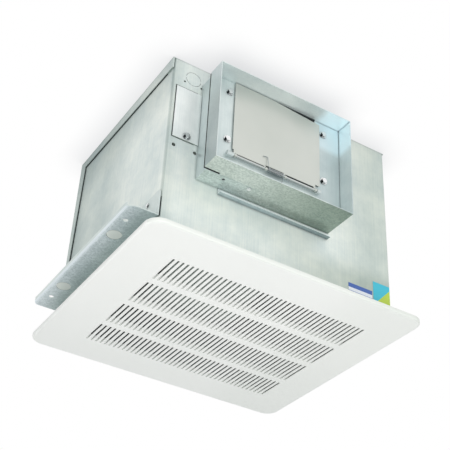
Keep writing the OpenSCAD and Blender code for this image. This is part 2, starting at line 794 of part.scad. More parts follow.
module wiring_cover() {
    color(steel)
    difference() {
        box([cover_x0, front_y - sheet_t, cover_z0], [cover_x1, front_y, cover_z1]);
        rod_y(front_y - 3, front_y + 1, screw_hole_r, cover_screw_x, cover_screw_z);
    }
}

module wiring_cover_screw() {
    color("silver")
    translate([cover_screw_x, front_y - sheet_t, cover_screw_z]) rotate([90, 0, 0])
        washer_screw(screw_head_r, 6);
}

module ground_screw() {
    color("#2f7a45")
    translate([ground_x, box_y1 - sheet_t, ground_z]) rotate([90, 0, 0]) washer_screw(4.2, 5);
}

module receptacle() {
    color("#26282a")
    union() {
        box([plug_x - 16, plug_y - 12, box_z0 - socket_h], [plug_x + 16, plug_y + 12, box_z0]);
        box([plug_x - 11.7, plug_y - 7.7, box_z0 - eps], [plug_x + 11.7, plug_y + 7.7, box_z0 + 12]);
    }
}

module motor_plug() {
    color("#303234")
    union() {
        box([plug_x - 13, plug_y - 10, plug_z], [plug_x + 13, plug_y + 10, box_z0 - socket_h - gap]);
        translate([plug_x, plug_y, plug_z - 6.5]) cylinder(h = 6.5 + eps, r = 7);
    }
}

// Smooth curve through the lead's points
function spline(a, b, c, d, t) =
    0.5 * ((2 * b) + (c - a) * t + (2 * a - 5 * b + 4 * c - d) * t * t
           + (3 * b - a - 3 * c + d) * t * t * t);
lead_last = len(lead_points) - 1;
lead_path = concat(
    [for (i = [0:lead_last - 1]) for (k = [0:6])
        spline(lead_points[max(i - 1, 0)], lead_points[i], lead_points[i + 1],
               lead_points[min(i + 2, lead_last)], k / 7)],
    [lead_points[lead_last]]
);

module motor_lead() {
    color("#222426") tube(lead_path, lead_r, 8, [1, 0, 0]);
}

// Fixing brackets

bracket_front = -bracket_len / 2;
bracket_y1 = bracket_len / 2 - 2;
leg_corner_r = 4;
flange_r0 = 13;
flange_r1 = 5;
bracket_rivet_y = [-bolt_span / 2 - 3, bolt_span / 2 + 3];
bracket_rivet_z = bracket_z0 + leg_h - 8;
relief_x = -wall_x + 2;
relief_top = bracket_z0 + 30;
relief_r = 3;
relief_path = concat(
    [[relief_x, bracket_z0]],
    arc([relief_x - relief_r, relief_top - relief_r], relief_r, 0, 75, 5)
);
tooling_r = 1.3;
fold_part = (bracket_z0 + leg_h - body_z0) / (body_top - fold_rear - body_z0);
fold_at_leg = fold_low + (fold_high - fold_low) * fold_part;

module bracket(bracket_y0) {
    flange_x = body_x + bracket_w;
    bolt_x = body_x + bolt_out;
    difference() {
        union() {
            along_x(wall_x, wall_x + bracket_t)
                polygon(concat(
                    [[bracket_y1, bracket_z0], [bracket_y1, bracket_z0 + leg_h]],
                    arc([bracket_y0 + leg_corner_r, bracket_z0 + leg_h - leg_corner_r],
                        leg_corner_r, 90, 180),
                    [[bracket_y0, bracket_z0]]));
            intersection() {
                along_y(bracket_y0, bracket_y1)
                    polygon(strip(concat(
                        [[wall_x, bracket_z0]],
                        arc([flange_x - lip_r, bracket_z0 + lip_r], lip_r, -90, 0),
                        [[flange_x, bracket_z0 + lip_h]]), bracket_t));
                translate([0, 0, bracket_z0 - 1]) linear_extrude(height = lip_h + 2)
                    polygon(concat(
                        [[wall_x, bracket_y1], [wall_x, bracket_y0]],
                        arc([flange_x - flange_r0, bracket_y0 + flange_r0], flange_r0, -90, 0),
                        arc([flange_x - flange_r1, bracket_y1 - flange_r1], flange_r1, 0, 90)));
            }
        }
        // room for the flange that the housing's back folds round the wall
        box([wall_x - 1, back_y - fold_at_leg - tape_out - gap, 0],
            [body_x + gap, back_y + 1, body_top]);
        for (s = [-1, 1]) {
            translate([bolt_x, s * bolt_span / 2, bracket_z0 - 1]) cylinder(h = bracket_t + 2, r = bolt_r);
            translate([bolt_x - 2.5, s * bracket_knock_span / 2, bracket_z0 - 1])
                knockout_cut(bracket_knock_r, bracket_t + 2);
        }
        for (y = bracket_rivet_y) {
            rod_x(wall_x - 1, wall_x + bracket_t + 1, rivet_hole_r, y, bracket_rivet_z);
            rod_x(wall_x - 1, wall_x + bracket_t + 1, tooling_r, y + 1.5, bracket_rivet_z - 4.6);
        }
    }
}

module bracket_left() {
    color(steel_dark) mirror([1, 0, 0]) bracket(bracket_front);
}

module bracket_right() {
    color(steel_dark) bracket(bracket_front + right_setback);
}

module bracket_rivets() {
    color("silver")
    for (s = [-1, 1]) mirror([s < 0 ? 1 : 0, 0, 0])
        for (y = bracket_rivet_y)
            translate([wall_x + bracket_t, y, bracket_rivet_z]) rotate([0, 90, 0]) blind_rivet();
}

// Blower

function scroll_r(a) = scroll_r0 + (scroll_r1 - scroll_r0) * a / 270;
function scroll_point(a) = [fan_y - scroll_r(a) * cos(a), fan_z - scroll_r(a) * sin(a)];
cut_y = fan_y - scroll_r0;
outlet_y = front_y + sheet_t;
nose_angle = asin((fan_z - outlet_z0 + nose_r) / scroll_r0);
scroll_path = concat(
    [[outlet_y, outlet_z0]],
    arc([cut_y - nose_r, outlet_z0 - nose_r], nose_r, 90, 0, 5),
    [for (i = [1:40]) scroll_point(nose_angle + 3 + (270 - nose_angle - 3) * i / 40)],
    [[outlet_y, fan_z + scroll_r1]]
);

module scroll_outline(grow) {
    polygon([for (i = [0:len(scroll_path) - 1]) scroll_path[i] - grow * path_normal(scroll_path, i)]);
}

module scroll_wrap() {
    color(steel)
    along_x(scroll_x0, scroll_x1) polygon(strip(scroll_path, -sheet_t));
}

// Side plate of the scroll, with its flange on the housing's front wall
module scroll_side(x0, flange_x) {
    difference() {
        union() {
            along_x(x0, x0 + sheet_t) scroll_outline(3);
            box([min(x0, flange_x), outlet_y, outlet_z0 + 6],
                [max(x0 + sheet_t, flange_x), outlet_y + sheet_t, seat_z1 - 8]);
        }
        rod_x(x0 - 1, x0 + sheet_t + 1, inlet_r + 7 + gap, fan_y, fan_z);
        for (a = foot_angles)
            translate([x0 - 1, fan_y, fan_z]) rotate([a, 0, 0]) translate([0, foot_r, 0])
                rotate([0, 90, 0]) cylinder(h = sheet_t + 2, r = screw_hole_r);
    }
}

foot_angles = [-90, 30, 150];

module scroll_side_left() {
    color(steel) scroll_side(scroll_x0 - sheet_t, scroll_x0 - sheet_t - 9);
}

module scroll_side_right() {
    color(steel) scroll_side(scroll_x1, scroll_x1 + sheet_t + 9);
}

// Bell-mouthed inlet ring, flange outwards, throat towards the wheel
module inlet_ring(x0, s) {
    translate([x0, fan_y, fan_z]) rotate([0, s * 90, 0])
        rotate_extrude($fn = 72)
            polygon(concat(
                [[ring_out_r, 0], [ring_out_r, sheet_t], [inlet_r + 7, sheet_t]],
                arc([inlet_r + 7, sheet_t - 7], 7, 90, 180),
                [[inlet_r, -9], [inlet_r + sheet_t, -9]],
                arc([inlet_r + 7, sheet_t - 7], 7 - sheet_t, 180, 90),
                [[ring_out_r - 1, 0]]));
}

module inlet_ring_left() {
    color(steel) inlet_ring(scroll_x0 - sheet_t, -1);
}

module inlet_ring_right() {
    color(steel) inlet_ring(scroll_x1 + sheet_t, 1);
}

// Belly band round the motor with three arms to the scroll's right side plate
band_x0 = motor_x0 + motor_len / 2 - 9;
foot_x = scroll_x1 + sheet_t + isolator_h;

module motor_bracket() {
    arm_w = 12;
    color(steel_dark)
    translate([0, fan_y, fan_z])
    difference() {
        union() {
            difference() {
                rod_x(band_x0, band_x0 + 18, motor_r + 2, 0, 0);
                rod_x(band_x0 - 1, band_x0 + 19, motor_r, 0, 0);
            }
            for (a = foot_angles) rotate([a, 0, 0]) {
                box([band_x0 + 8, motor_r + 1, -arm_w / 2], [band_x0 + 10, foot_r + 7, arm_w / 2]);
                box([foot_x, foot_r + 5, -arm_w / 2], [band_x0 + 10, foot_r + 7, arm_w / 2]);
                box([foot_x, foot_r - 6, -arm_w / 2], [foot_x + 2, foot_r + 7, arm_w / 2]);
            }
        }
        for (a = foot_angles)
            rotate([a, 0, 0]) translate([foot_x - 1, foot_r, 0]) rotate([0, 90, 0])
                cylinder(h = 4, r = screw_hole_r);
    }
}

module motor_isolators() {
    color("#1d1f20")
    translate([0, fan_y, fan_z])
    for (a = foot_angles)
        rotate([a, 0, 0]) translate([foot_x - isolator_h, foot_r, 0]) rotate([0, 90, 0])
            difference() {
                cylinder(h = isolator_h, r = 5.5);
                translate([0, 0, -1]) cylinder(h = isolator_h + 2, r = screw_hole_r);
            }
}

module motor_bracket_screws() {
    color("silver")
    translate([0, fan_y, fan_z])
    for (a = foot_angles)
        rotate([a, 0, 0]) translate([foot_x + 2, foot_r, 0]) rotate([0, 90, 0]) washer_screw(4.2, 9);
}

module motor_shell() {
    color("#3c4043")
    translate([motor_x0, fan_y, fan_z]) rotate([0, 90, 0])
        difference() {
            cylinder(h = motor_len, r = motor_r);
            translate([0, 0, -1]) cylinder(h = motor_len + 2, r = motor_r - 1.4);
        }
}

// End bell with its bearing boss, open side towards the motor, seat at z = 0
module end_bell() {
    rotate_extrude()
        polygon([[5.5, 1], [9, 1], [9, bell_h - 2], [motor_r - 3, bell_h - 4], [motor_r - 3, 0],
                 [motor_r, 0], [motor_r, bell_h - 4], [motor_r - 4, bell_h - 2], [12, bell_h],
                 [5.5, bell_h]]);
}

module motor_bell_inner() {
    color("#8d9494")
    translate([motor_x0, fan_y, fan_z]) rotate([0, -90, 0]) end_bell();
}

module motor_bell_outer() {
    color("#8d9494")
    translate([motor_x1, fan_y, fan_z]) rotate([0, 90, 0]) end_bell();
}

module motor_bearings() {
    color("#b08d57")
    for (x = [motor_x0 - bell_h, motor_x1 + 1])
        difference() {
            rod_x(x, x + bell_h - 1, 5.5, fan_y, fan_z);
            rod_x(x - 1, x + bell_h, shaft_r + shaft_play, fan_y, fan_z);
        }
}

module motor_stator() {
    color("#6d5a4a")
    difference() {
        rod_x(motor_x0 + 12, motor_x1 - 12, motor_r - 1.4, fan_y, fan_z);
        rod_x(motor_x0 + 11, motor_x1 - 11, rotor_r + 0.5, fan_y, fan_z);
    }
}

module motor_rotor() {
    color("#9a9da0")
    difference() {
        rod_x(motor_x0 + 12, motor_x1 - 12, rotor_r, fan_y, fan_z);
        rod_x(motor_x0 + 11, motor_x1 - 11, shaft_r, fan_y, fan_z);
    }
}

module motor_shaft() {
    color("silver")
    rod_x(shaft_x0, shaft_x1, shaft_r, fan_y, fan_z);
}

hub_r = 13;
disc_t = 1.2;
disc_r = blade_r0 - 0.05;
ring_t = 1.6;
blade_x0 = fan_x - wheel_w / 2 + ring_t;
blade_x1 = fan_x + wheel_w / 2 - ring_t;

module wheel_hub() {
    color("#8f9698")
    difference() {
        union() {
            rod_x(fan_x - 12, fan_x + 12, hub_r, fan_y, fan_z);
            rod_x(fan_x + disc_t / 2, fan_x + disc_t / 2 + 3, hub_r + 9, fan_y, fan_z);
        }
        rod_x(fan_x - 13, fan_x + 13, shaft_r, fan_y, fan_z);
    }
}

// Forward-curved blade as a strip whose tip leads in the turning direction
blade_path = [for (i = [0:5]) let (s = i / 5, r = blade_r0 + blade_d * s, a = 11 * pow(s, 1.6))
    [r * cos(a), r * sin(a)]];

module wheel_blades() {
    color("#aab2b2")
    translate([0, fan_y, fan_z])
    for (i = [0:blades - 1])
        rotate([360 * i / blades, 0, 0])
            along_x(blade_x0, blade_x1) polygon(strip(blade_path, blade_t));
}

// End rings that hold the blades' ends
module wheel_rings() {
    color("#aab2b2")
    for (x = [fan_x - wheel_w / 2, blade_x1])
        difference() {
            rod_x(x, x + ring_t, wheel_r + 1, fan_y, fan_z);
            rod_x(x - 1, x + ring_t + 1, blade_r0 + 6, fan_y, fan_z);
        }
}

// Centre disc inside the blades, on the hub's flange
module wheel_disc() {
    color("#aab2b2")
    difference() {
        rod_x(fan_x - disc_t / 2, fan_x + disc_t / 2, disc_r, fan_y, fan_z);
        rod_x(fan_x - 2, fan_x + 2, hub_r, fan_y, fan_z);
    }
}

// Bare labels on the front wall, near its lower right corner
label_t = 0.25;
label_w = 38;
label_h = 17;
label_in = 33;
label_z0 = 30;
square_w = 27;
square_h = 29;
square_in = 4;
square_z0 = 34;

module rating_label() {
    color("#3d63a8")
    box([body_x - label_in - label_w, front_y - label_t, label_z0],
        [body_x - label_in, front_y, label_z0 + label_h]);
}

module square_label() {
    color("#35b6cf")
    box([body_x - square_in - square_w, front_y - label_t, square_z0],
        [body_x - square_in, front_y, square_z0 + square_h]);
}

grille_panel();
grille_deflectors();
grille_clips();
clip_catches();
housing_wrap();
housing_back_top();
seam_tape();
liner_top();
liner_back();
collar_adapter();
collar_gasket();
damper_frame();
damper_seal();
collar_ledge();
hinge_bushes();
damper_frame_screws();
collar_rivets();
damper_flap();
damper_rod();
damper_spring();
wiring_box();
wiring_cover();
wiring_cover_screw();
ground_screw();
receptacle();
motor_plug();
motor_lead();
bracket_left();
bracket_right();
bracket_rivets();
scroll_wrap();
scroll_side_left();
scroll_side_right();
inlet_ring_left();
inlet_ring_right();
motor_bracket();
motor_isolators();
motor_bracket_screws();
motor_shell();
motor_bell_inner();
motor_bell_outer();
motor_bearings();
motor_stator();
motor_rotor();
motor_shaft();
wheel_hub();
wheel_disc();
wheel_rings();
wheel_blades();
rating_label();
square_label();
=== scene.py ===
import bpy
from mathutils import Matrix, Vector


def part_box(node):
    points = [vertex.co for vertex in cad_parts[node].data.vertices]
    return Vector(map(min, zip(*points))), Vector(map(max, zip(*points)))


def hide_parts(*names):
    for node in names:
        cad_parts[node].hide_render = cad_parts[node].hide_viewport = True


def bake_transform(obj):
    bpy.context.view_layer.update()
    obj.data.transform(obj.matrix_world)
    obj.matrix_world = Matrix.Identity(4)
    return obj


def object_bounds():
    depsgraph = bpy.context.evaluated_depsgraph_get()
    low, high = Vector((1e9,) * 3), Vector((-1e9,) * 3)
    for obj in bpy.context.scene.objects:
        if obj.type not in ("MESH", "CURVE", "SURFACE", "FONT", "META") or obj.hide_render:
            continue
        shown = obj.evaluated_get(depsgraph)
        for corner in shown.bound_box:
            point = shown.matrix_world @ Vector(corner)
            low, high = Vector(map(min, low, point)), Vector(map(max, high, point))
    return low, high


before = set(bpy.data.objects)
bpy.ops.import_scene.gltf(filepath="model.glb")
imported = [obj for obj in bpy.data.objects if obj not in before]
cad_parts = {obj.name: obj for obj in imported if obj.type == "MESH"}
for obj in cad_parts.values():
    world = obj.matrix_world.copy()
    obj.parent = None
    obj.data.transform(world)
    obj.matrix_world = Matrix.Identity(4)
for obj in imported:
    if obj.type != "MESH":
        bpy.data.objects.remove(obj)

packed_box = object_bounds()

# The studio. The fan hangs high above a pale floor, as it would in a room, and is seen from below. A
# white sky lights it evenly, a broad lamp under the front edge brightens the grille, and a lamp
# behind the camera shines into the collar.
CAMERA_PLACE = Vector((-0.5799, -0.9949, -0.6365))
CAMERA_RIGHT = Vector((0.84719, -0.52924, 0.04655))
CAMERA_UP = Vector((-0.33706, -0.46769, 0.81710))
CAMERA_BACK = Vector((-0.41067, -0.70793, -0.57462))
CAMERA_LENS_MM = 80.76
CAMERA_SENSOR_MM = 36
CAMERA_SEES = (0.01, 50)
FLOOR_DROP = 1.6
FLOOR_SIZE = 12.0
SKY_LIGHT = 0.72


def linear(hex_colour):
    """An sRGB hex colour as the linear values that shaders take."""
    parts = [int(hex_colour[i:i + 2], 16) / 255 for i in (1, 3, 5)]
    return tuple(p / 12.92 if p <= 0.04045 else ((p + 0.055) / 1.055) ** 2.4 for p in parts) + (1.0,)


def add(tree, kind, inputs=None, **settings):
    """Adds a node, sets it up and joins it to the sockets it is given."""
    made = tree.nodes.new(kind)
    for key, value in settings.items():
        setattr(made, key, value)
    for key, value in (inputs or {}).items():
        if isinstance(value, bpy.types.NodeSocket):
            tree.links.new(value, made.inputs[key])
        else:
            made.inputs[key].default_value = value
    return made


def surface(name):
    """A new material with its shader, and the object's own coordinates in metres."""
    made = bpy.data.materials.new(name)
    made.use_nodes = True
    tree = made.node_tree
    tree.nodes.clear()
    shader = add(tree, "ShaderNodeBsdfPrincipled")
    add(tree, "ShaderNodeOutputMaterial", {"Surface": shader.outputs[0]})
    return made, tree, shader, add(tree, "ShaderNodeTexCoord").outputs["Object"]


def lamp(name, place, aim, size, watts, mirrored):
    """A square lamp. mirrored tells whether metal may show it as a reflection."""
    data = bpy.data.lights.new(name, "AREA")
    data.shape, data.size, data.energy = "SQUARE", size, watts
    made = bpy.data.objects.new(name, data)
    bpy.context.collection.objects.link(made)
    made.location = place
    made.rotation_mode = "QUATERNION"
    made.rotation_quaternion = (Vector(aim) - Vector(place)).to_track_quat("-Z", "Y")
    made.visible_glossy = mirrored


def sky_strength(tree):
    """White where the camera, a reflection or a refraction looks, and plain daylight otherwise."""
    path = add(tree, "ShaderNodeLightPath")
    seen = add(tree, "ShaderNodeMath", {0: path.outputs["Is Camera Ray"],
                                        1: path.outputs["Is Glossy Ray"]}, operation="MAXIMUM")
    seen = add(tree, "ShaderNodeMath", {0: seen.outputs[0],
                                        1: path.outputs["Is Transmission Ray"]}, operation="MAXIMUM")
    strength = add(tree, "ShaderNodeMapRange", {"Value": seen.outputs[0], "To Min": SKY_LIGHT, "To Max": 1.0})
    return strength.outputs[0]


def flat_square(name, size, height, looks_up, material):
    """A level square at a height, that looks up or down."""
    half = size / 2
    corners = [(-half, -half, 0), (half, -half, 0), (half, half, 0), (-half, half, 0)]
    mesh = bpy.data.meshes.new(name)
    mesh.from_pydata(corners, [], [(0, 1, 2, 3) if looks_up else (0, 3, 2, 1)])
    mesh.materials.append(material)
    made = bpy.data.objects.new(name, mesh)
    made.location.z = height
    bpy.context.collection.objects.link(made)
    return made


camera_data = bpy.data.cameras.new("camera")
camera_data.lens = CAMERA_LENS_MM
camera_data.sensor_width = CAMERA_SENSOR_MM
camera_data.clip_start, camera_data.clip_end = CAMERA_SEES
camera = bpy.data.objects.new("camera", camera_data)
bpy.context.collection.objects.link(camera)
camera.matrix_world = Matrix.Translation(CAMERA_PLACE) @ Matrix(
    (CAMERA_RIGHT, CAMERA_UP, CAMERA_BACK)).transposed().to_4x4()
bpy.context.scene.camera = camera
bpy.context.scene.view_settings.view_transform = "Standard"

sky = bpy.data.worlds.new("sky")
bpy.context.scene.world = sky
sky.use_nodes = True
sky.node_tree.nodes.clear()
light = add(sky.node_tree, "ShaderNodeBackground", {"Color": (1, 1, 1, 1),
                                                    "Strength": sky_strength(sky.node_tree)})
add(sky.node_tree, "ShaderNodeOutputWorld", {"Surface": light.outputs[0]})

paper, tree, shader, _ = surface("white_paper")
shader.inputs["Base Color"].default_value = linear("#f2f3f3")
shader.inputs["Roughness"].default_value = 0.9
floor = flat_square("floor", FLOOR_SIZE, -FLOOR_DROP, looks_up=True, material=paper)

lamp("lamp_below", place=(-0.35, -1.3, -0.9), aim=(0, -0.05, 0), size=1.0, watts=7.5, mirrored=False)
lamp("lamp_camera", place=(-0.72, -1.24, -0.82), aim=(0, -0.17, 0.19), size=0.5, watts=6, mirrored=True)

# The ceiling that the fan hangs under: white board, as bright as the sky, with the soft shade that
# gathers where the housing's top meets it. It is clear from above, so that the top can be looked at.
CEILING_GAP = 0.001
CEILING_SIZE = 2.4
CEILING_SHADE = "#d2d4d6"
CEILING_SHADE_REACH = 0.047

board, tree, shader, _ = surface("white_ceiling_board")
near = add(tree, "ShaderNodeAmbientOcclusion", {"Distance": CEILING_SHADE_REACH}, samples=16)
shade = add(tree, "ShaderNodeMix", {0: near.outputs["AO"], 6: linear(CEILING_SHADE), 7: (1, 1, 1, 1)},
            data_type="RGBA")
glow = add(tree, "ShaderNodeEmission", {"Color": shade.outputs[2], "Strength": sky_strength(tree)})
clear = add(tree, "ShaderNodeBsdfTransparent")
sided = add(tree, "ShaderNodeMixShader", {0: add(tree, "ShaderNodeNewGeometry").outputs["Backfacing"],
                                          1: glow.outputs[0], 2: clear.outputs[0]})
tree.links.new(sided.outputs[0], tree.nodes["Material Output"].inputs["Surface"])
tree.nodes.remove(shader)
ceiling = flat_square("ceiling", CEILING_SIZE, packed_box[1][2] + CEILING_GAP, looks_up=False,
                      material=board)

# The sheet steel: hot-dip galvanised, cut, punched and folded. The zinc has frozen into flat
# crystals, so the walls are a soft grey half mirror with faint clouds and rolling lines. Undersides
# are given colours of their own as painted shade, so their crystals show as darker, greenish specks.
CRYSTAL = 0.0034
CRYSTAL_SHARE = 0.5
CRYSTAL_GLOSS = 0.05
CRYSTAL_DULL = 0.07
CLOUDS_PER_METRE = 16.0
ROLLING_LINE = 0.0016  # really some 0.2 mm, drawn coarser to show
ROLLING_BREAKS_PER_METRE = 14.0
ROLLING_SHARE = 0.25
# How far the painted shade in corners reaches.
CORNER_SHADE_REACH = 0.004
BEND_LOOKS = 0.2


def dress(material, *nodes):
    """Gives CAD nodes their material."""
    for node in nodes:
        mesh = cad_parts[node].data
        mesh.materials.clear()
        mesh.materials.append(material)


def painted_corner_shade(tree, tint, shade_line, reach=CORNER_SHADE_REACH):
    """A tint toned down by a given colour as painted shade where another surface is near, as in a corner.

    Faces that look up have no painted shade, because the ceiling is near all of the housing's top."""
    near = add(tree, "ShaderNodeAmbientOcclusion", {"Distance": reach}, samples=8)
    normal = add(tree, "ShaderNodeNewGeometry").outputs["True Normal"]
    facing = add(tree, "ShaderNodeSeparateXYZ", {"Vector": normal})
    up = add(tree, "ShaderNodeMapRange", {"Value": facing.outputs["Z"], "From Min": 0.3, "From Max": 0.8})
    free = add(tree, "ShaderNodeMath", {0: near.outputs["AO"], 1: up.outputs[0]}, operation="MAXIMUM")
    painted_shading = add(tree, "ShaderNodeMix", {0: free.outputs[0], 6: linear(shade_line), 7: (1, 1, 1, 1)},
               data_type="RGBA")
    return add(tree, "ShaderNodeMix", {0: 1.0, 6: tint, 7: painted_shading.outputs[2]}, data_type="RGBA",
               blend_type="MULTIPLY")


def galvanised(name, colour, shade, roughness, painted_underside=("#a9b8b0", "#c3cfc8"), painted_underside_top=1.0,
               shade_line="#6f7b7b", grain=CRYSTAL):
    """Galvanised sheet in clouds of two colours, with crystals of the size grain.

    The faces that look down, below a given height, take a pair of colours of their own as painted
    shade; a further colour tones the corners down as painted shade."""
    made, tree, shader, place = surface(name)
    shader.inputs["Metallic"].default_value = 0.45
    clouds = add(tree, "ShaderNodeTexNoise", {"Vector": place, "Scale": CLOUDS_PER_METRE, "Detail": 5.0,
                                              "Roughness": 0.62})
    stretched = add(tree, "ShaderNodeMapping", {"Vector": place, "Scale": (
        1 / ROLLING_LINE, 1 / ROLLING_LINE, ROLLING_BREAKS_PER_METRE)})
    lines = add(tree, "ShaderNodeTexNoise", {"Vector": stretched.outputs[0], "Scale": 1.0, "Detail": 2.0})
    mixed = add(tree, "ShaderNodeMath", {0: lines.outputs[0], 1: ROLLING_SHARE, 2: clouds.outputs[0]},
                operation="MULTIPLY_ADD")
    cloudy = add(tree, "ShaderNodeMapRange", {"Value": mixed.outputs[0], "From Min": 0.46, "From Max": 0.8})
    clean = add(tree, "ShaderNodeMix", {0: cloudy.outputs[0], 6: linear(shade), 7: linear(colour)},
                data_type="RGBA")

    ragged = add(tree, "ShaderNodeTexNoise", {"Vector": place, "Scale": 1 / grain, "Detail": 3.0})
    push = add(tree, "ShaderNodeVectorMath", {0: ragged.outputs["Color"], 1: (grain, grain, grain)},
               operation="MULTIPLY")
    at = add(tree, "ShaderNodeVectorMath", {0: place, 1: push.outputs[0]}, operation="ADD")
    crystal = add(tree, "ShaderNodeTexVoronoi", {"Vector": at.outputs[0], "Scale": 1 / grain})
    speck = add(tree, "ShaderNodeSeparateColor", {"Color": crystal.outputs["Color"]})
    specks = add(tree, "ShaderNodeMath", {0: speck.outputs[0], 1: CRYSTAL_SHARE, 2: clouds.outputs[0]},
                 operation="MULTIPLY_ADD")
    specks = add(tree, "ShaderNodeMapRange", {"Value": specks.outputs[0], "From Min": 0.45, "From Max": 1.05})
    # Painted shade: the faces that look down take their own pair of colours, speckled by the crystals.
    painted_underside_specks = add(tree, "ShaderNodeMix", {0: specks.outputs[0], 6: linear(painted_underside[0]), 7: linear(painted_underside[1])},
                 data_type="RGBA")
    normal = add(tree, "ShaderNodeNewGeometry").outputs["True Normal"]
    facing = add(tree, "ShaderNodeSeparateXYZ", {"Vector": normal})
    down = add(tree, "ShaderNodeMapRange", {"Value": facing.outputs["Z"], "From Min": -0.3, "From Max": -0.8})
    height = add(tree, "ShaderNodeSeparateXYZ", {"Vector": place})
    low = add(tree, "ShaderNodeMath", {0: height.outputs["Z"], 1: painted_underside_top}, operation="LESS_THAN")
    painted_underside_mask = add(tree, "ShaderNodeMath", {0: down.outputs[0], 1: low.outputs[0]}, operation="MULTIPLY")
    tint = add(tree, "ShaderNodeMix", {0: painted_underside_mask.outputs[0], 6: clean.outputs[2], 7: painted_underside_specks.outputs[2]},
               data_type="RGBA")
    tint = painted_corner_shade(tree, tint.outputs[2], shade_line)
    tree.links.new(tint.outputs[2], shader.inputs["Base Color"])
    gloss = add(tree, "ShaderNodeMapRange", {"Value": speck.outputs[1], "To Min": roughness - CRYSTAL_GLOSS,
                                             "To Max": roughness + CRYSTAL_DULL})
    tree.links.new(gloss.outputs[0], shader.inputs["Roughness"])
    relief = add(tree, "ShaderNodeBump", {"Height": clouds.outputs[0], "Strength": 0.15, "Distance": 0.002})
    tree.links.new(relief.outputs[0], shader.inputs["Normal"])
    return made, tree, shader, place, tint, painted_underside_mask


def looks(tree, axis, least=0.5):
    """A mask of the faces that look against an axis."""
    normal = add(tree, "ShaderNodeNewGeometry").outputs["True Normal"]
    facing = add(tree, "ShaderNodeSeparateXYZ", {"Vector": normal})
    against = add(tree, "ShaderNodeMath", {0: facing.outputs[axis], 1: -least}, operation="LESS_THAN")
    return against.outputs[0]


def tone(tree, tint, colour, where):
    """Tones a tint down by a colour where a mask is."""
    return add(tree, "ShaderNodeMix", {0: where, 6: tint.outputs[2], 7: linear(colour)},
               data_type="RGBA", blend_type="MULTIPLY")


def fade(tree, tint, colour, place, axis, start, end, where=None):
    """Tones a tint down by a colour along an axis, from start to end, everywhere or in a mask."""
    spot = add(tree, "ShaderNodeSeparateXYZ", {"Vector": place})
    along = add(tree, "ShaderNodeMapRange", {"Value": spot.outputs[axis], "From Min": start,
                                             "From Max": end}, interpolation_type="SMOOTHSTEP")
    amount = along.outputs[0]
    if where is not None:
        amount = add(tree, "ShaderNodeMath", {0: amount, 1: where}, operation="MULTIPLY").outputs[0]
    return tone(tree, tint, colour, amount)


housing_steel, tree, shader, place, tint, _ = galvanised(
    "galvanised_sheet", "#f4f9f2", "#d7e2e0", roughness=0.45)
left, front = looks(tree, "X"), looks(tree, "Y")
# Painted shade: the sheet is toned darker at the front left bend, against its reflection of the
# lamp, and towards the back, the top, the left end of the front wall and the right, and low on the
# right half of the front wall, as the light on it falls off.
painted_bend_shade = add(tree, "ShaderNodeMath", {0: looks(tree, "X", BEND_LOOKS), 1: looks(tree, "Y", BEND_LOOKS)},
           operation="MULTIPLY")
tint = tone(tree, tint, "#dfe2e2", painted_bend_shade.outputs[0])
tint = fade(tree, tint, "#dde2e2", place, "Y", start=-0.06, end=0.05)
tint = fade(tree, tint, "#e8ebeb", place, "Y", start=0.07, end=0.13, where=left)
tint = fade(tree, tint, "#dfe3e3", place, "Z", start=0.19, end=0.27, where=left)
tint = fade(tree, tint, "#e8ebea", place, "X", start=-0.15, end=-0.17, where=front)
tint = fade(tree, tint, "#e0e4e1", place, "X", start=0.06, end=0.15)
lower = fade(tree, tint, "#dbdfdb", place, "Z", start=0.09, end=0.05, where=front)
spot = add(tree, "ShaderNodeSeparateXYZ", {"Vector": place})
right = add(tree, "ShaderNodeMapRange", {"Value": spot.outputs["X"], "From Min": -0.02, "From Max": 0.06})
tint = add(tree, "ShaderNodeMix", {0: right.outputs[0], 6: tint.outputs[2], 7: lower.outputs[2]},
           data_type="RGBA")
tree.links.new(tint.outputs[2], shader.inputs["Base Color"])
dress(housing_steel, "housing_wrap", "housing_back_top", "wiring_box", "clip_catches")

# Painted light: the cover is paler than the walls, against the collar's shade on it, and its corners take a
# lighter painted shade.
cover_steel = galvanised("galvanised_cover", "#f8fcfa", "#e4ebea", roughness=0.42, shade_line="#9aa5a5")[0]
dress(cover_steel, "wiring_cover")

inner_steel, tree, shader, place, tint, _ = galvanised(
    "galvanised_sheet_inside", "#c3ccca", "#a9b5b3", roughness=0.45)
# Painted shade: the steel inside the housing is toned darker towards the left.
tint = fade(tree, tint, "#6e7274", place, "X", start=-0.075, end=-0.125)
tree.links.new(tint.outputs[2], shader.inputs["Base Color"])
dress(inner_steel, "scroll_wrap", "scroll_side_left", "scroll_side_right", "inlet_ring_left",
      "inlet_ring_right")

# The collar and its ledge: the same sheet, a little bluer. Painted shade darkens their sides and
# undersides, where the crystals show as specks, more so towards the right, and a painted reflection
# brightens the collar's upper right corner.
COLLAR_MIDDLE = (-0.03, -0.2, 0.185)
GASKET_Y = -0.164
BRIGHT_FROM_X = 0.028
BRIGHT_FROM_Z = 0.212
BRIGHT_EDGE = 0.01
REFLECTION_SHADE_REACH = 0.0025
SMALL_CRYSTAL = 0.0018

collar_steel, tree, shader, place, tint, painted_underside_mask = galvanised(
    "galvanised_collar", "#e3ecea", "#ccd8d8", roughness=0.34, painted_underside=("#b7c3bc", "#e0e8e1"), painted_underside_top=0.11,
    shade_line="#dde3e3", grain=SMALL_CRYSTAL)
# Painted shade: underneath, it darkens towards the right.
tint = fade(tree, tint, "#b6c1b9", place, "X", start=-0.1, end=0.06, where=painted_underside_mask.outputs[0])
# Painted shade: underneath, behind the gasket, it is toned darker towards the left.
parts = add(tree, "ShaderNodeSeparateXYZ", {"Vector": place})
behind = add(tree, "ShaderNodeMath", {0: parts.outputs["Y"], 1: GASKET_Y}, operation="GREATER_THAN")
behind = add(tree, "ShaderNodeMath", {0: behind.outputs[0], 1: painted_underside_mask.outputs[0]}, operation="MULTIPLY")
tint = fade(tree, tint, "#f4f9fc", place, "X", start=-0.04, end=-0.09, where=behind.outputs[0])
